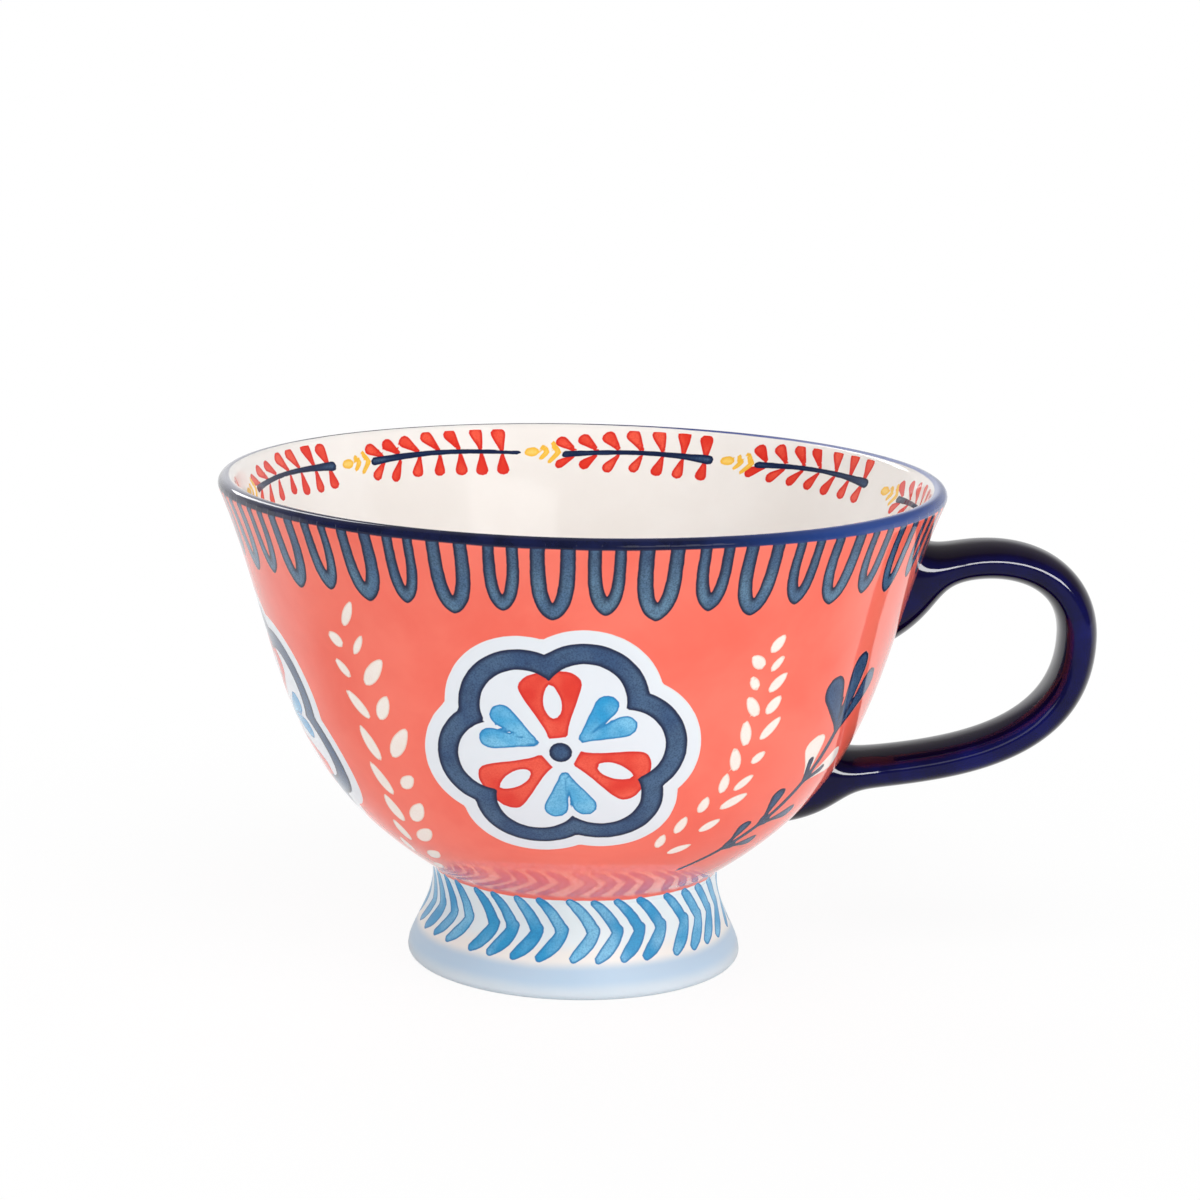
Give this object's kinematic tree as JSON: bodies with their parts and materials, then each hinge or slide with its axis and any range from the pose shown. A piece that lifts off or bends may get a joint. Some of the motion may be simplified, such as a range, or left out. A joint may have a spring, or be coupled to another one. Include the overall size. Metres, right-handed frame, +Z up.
{
  "type": "mug",
  "caption": "Wide footed ceramic mug with a flared bowl, a rounded lip, a waisted pedestal foot and a strap handle with trumpet-shaped roots.",
  "frame": {"origin": "centre of the foot ring, on the surface that the mug stands on", "axes": "+Z up along the bowl's axis, +X towards the handle"},
  "size_m": [0.1547, 0.127, 0.0866],
  "materials": {
    "glazed_stoneware": "glossy clear glaze over hand-painted coral, navy, white and blue"
  },
  "bodies": {
    "root": {"mug": "glazed_stoneware"}
  },
  "joints": []
}
